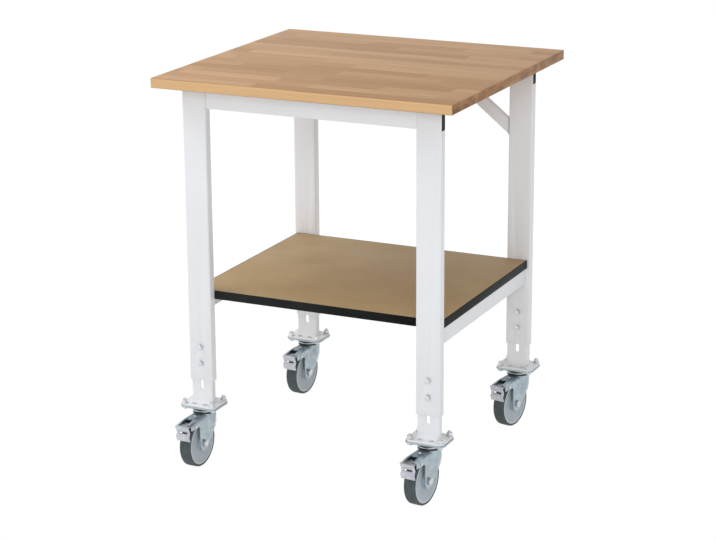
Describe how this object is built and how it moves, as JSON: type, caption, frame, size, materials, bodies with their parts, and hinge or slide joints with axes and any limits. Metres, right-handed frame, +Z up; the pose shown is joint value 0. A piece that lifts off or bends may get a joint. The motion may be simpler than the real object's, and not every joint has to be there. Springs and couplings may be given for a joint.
{
  "type": "mobile work table",
  "caption": "Height-adjustable work table with a thick wooden top, white steel tube frame, lower shelf, telescoping clamped legs and braked swivel castors.",
  "frame": {"origin": "on the floor, under the middle of the whole table's bounding box", "axes": "+Z up, +X to the right and +Y to the back for someone standing in front of the table"},
  "size_m": [0.8, 0.7928, 1.01],
  "materials": {
    "beech_board": "oiled",
    "white_paint": "satin powder coat",
    "black_plastic": "matte",
    "brown_board": "matte hardboard face",
    "zinc_fasteners": "zinc plated",
    "zinc_sheet": "blue-grey zinc plate",
    "black_seal": "matte",
    "wheel_plastic": "satin",
    "tread_rubber": "matte",
    "pedal_steel": "bright zinc"
  },
  "bodies": {
    "table": {"worktop": "beech_board", "outer_leg_front_left": "white_paint", "outer_leg_front_right": "white_paint", "outer_leg_back_left": "white_paint", "outer_leg_back_right": "white_paint", "top_rail_front": "white_paint", "top_rail_back": "white_paint", "back_brace_left": "white_paint", "shelf_rail_left": "white_paint", "back_brace_right": "white_paint", "shelf_rail_right": "white_paint", "rail_end_plugs": "black_plastic", "brace_pads": "black_plastic", "clamp_bolts": "zinc_fasteners", "clamp_nuts": "zinc_fasteners", "shelf_board": "brown_board", "shelf_edge_band": "black_plastic", "worktop_screws": "zinc_fasteners", "shelf_screws": "zinc_fasteners"},
    "foot_front_left": {"inner_leg_front_left": "white_paint", "castor_plate_front_left": "zinc_sheet", "castor_bolts_front_left": "zinc_fasteners"},
    "fork_front_left": {"fork_front_left": "zinc_sheet", "swivel_race_front_left": "black_seal", "axle_bolt_front_left": "zinc_fasteners", "brake_pin_front_left": "zinc_fasteners"},
    "wheel_front_left": {"wheel_core_front_left": "wheel_plastic", "wheel_tread_front_left": "tread_rubber"},
    "pedal_front_left": {"brake_pedal_front_left": "pedal_steel"},
    "foot_front_right": {"inner_leg_front_right": "white_paint", "castor_plate_front_right": "zinc_sheet", "castor_bolts_front_right": "zinc_fasteners"},
    "fork_front_right": {"fork_front_right": "zinc_sheet", "swivel_race_front_right": "black_seal", "axle_bolt_front_right": "zinc_fasteners", "brake_pin_front_right": "zinc_fasteners"},
    "wheel_front_right": {"wheel_core_front_right": "wheel_plastic", "wheel_tread_front_right": "tread_rubber"},
    "pedal_front_right": {"brake_pedal_front_right": "pedal_steel"},
    "foot_back_left": {"inner_leg_back_left": "white_paint", "castor_plate_back_left": "zinc_sheet", "castor_bolts_back_left": "zinc_fasteners"},
    "fork_back_left": {"fork_back_left": "zinc_sheet", "swivel_race_back_left": "black_seal", "axle_bolt_back_left": "zinc_fasteners", "brake_pin_back_left": "zinc_fasteners"},
    "wheel_back_left": {"wheel_core_back_left": "wheel_plastic", "wheel_tread_back_left": "tread_rubber"},
    "pedal_back_left": {"brake_pedal_back_left": "pedal_steel"},
    "foot_back_right": {"inner_leg_back_right": "white_paint", "castor_plate_back_right": "zinc_sheet", "castor_bolts_back_right": "zinc_fasteners"},
    "fork_back_right": {"fork_back_right": "zinc_sheet", "swivel_race_back_right": "black_seal", "axle_bolt_back_right": "zinc_fasteners", "brake_pin_back_right": "zinc_fasteners"},
    "wheel_back_right": {"wheel_core_back_right": "wheel_plastic", "wheel_tread_back_right": "tread_rubber"},
    "pedal_back_right": {"brake_pedal_back_right": "pedal_steel"}
  },
  "joints": [
    {"name": "height_front_left", "type": "slide", "parent": "table", "child": "foot_front_left", "axis": [0, 0, 1], "range_m": [-0.2, 0.055]},
    {"name": "swivel_front_left", "type": "hinge", "parent": "foot_front_left", "child": "fork_front_left", "pos_m": [-0.315, -0.28057, 0.1345], "axis": [0, 0, 1], "continuous": true},
    {"name": "roll_front_left", "type": "hinge", "parent": "fork_front_left", "child": "wheel_front_left", "pos_m": [-0.3164, -0.32055, 0.0625], "axis": [0.9994, -0.0349, 0], "continuous": true},
    {"name": "brake_front_left", "type": "hinge", "parent": "fork_front_left", "child": "pedal_front_left", "pos_m": [-0.31779, -0.36052, 0.12], "axis": [-0.9994, 0.0349, 0], "range_deg": [0, 12]},
    {"name": "height_front_right", "type": "slide", "parent": "table", "child": "foot_front_right", "axis": [0, 0, 1], "range_m": [-0.2, 0.055]},
    {"name": "swivel_front_right", "type": "hinge", "parent": "foot_front_right", "child": "fork_front_right", "pos_m": [0.315, -0.28057, 0.1345], "axis": [0, 0, 1], "continuous": true},
    {"name": "roll_front_right", "type": "hinge", "parent": "fork_front_right", "child": "wheel_front_right", "pos_m": [0.31082, -0.32035, 0.0625], "axis": [0.9945, -0.1045, 0], "continuous": true},
    {"name": "brake_front_right", "type": "hinge", "parent": "fork_front_right", "child": "pedal_front_right", "pos_m": [0.30664, -0.36013, 0.12], "axis": [-0.9945, 0.1045, 0], "range_deg": [0, 12]},
    {"name": "height_back_left", "type": "slide", "parent": "table", "child": "foot_back_left", "axis": [0, 0, 1], "range_m": [-0.2, 0.055]},
    {"name": "swivel_back_left", "type": "hinge", "parent": "foot_back_left", "child": "fork_back_left", "pos_m": [-0.315, 0.32343, 0.1345], "axis": [0, 0, 1], "continuous": true},
    {"name": "roll_back_left", "type": "hinge", "parent": "fork_back_left", "child": "wheel_back_left", "pos_m": [-0.31779, 0.28353, 0.0625], "axis": [0.9976, -0.0698, 0], "continuous": true},
    {"name": "brake_back_left", "type": "hinge", "parent": "fork_back_left", "child": "pedal_back_left", "pos_m": [-0.32058, 0.24362, 0.12], "axis": [-0.9976, 0.0698, 0], "range_deg": [0, 12]},
    {"name": "height_back_right", "type": "slide", "parent": "table", "child": "foot_back_right", "axis": [0, 0, 1], "range_m": [-0.2, 0.055]},
    {"name": "swivel_back_right", "type": "hinge", "parent": "foot_back_right", "child": "fork_back_right", "pos_m": [0.315, 0.32343, 0.1345], "axis": [0, 0, 1], "continuous": true},
    {"name": "roll_back_right", "type": "hinge", "parent": "fork_back_right", "child": "wheel_back_right", "pos_m": [0.30805, 0.28404, 0.0625], "axis": [0.9848, -0.1736, 0], "continuous": true},
    {"name": "brake_back_right", "type": "hinge", "parent": "fork_back_right", "child": "pedal_back_right", "pos_m": [0.30111, 0.24464, 0.12], "axis": [-0.9848, 0.1736, 0], "range_deg": [0, 12]}
  ]
}
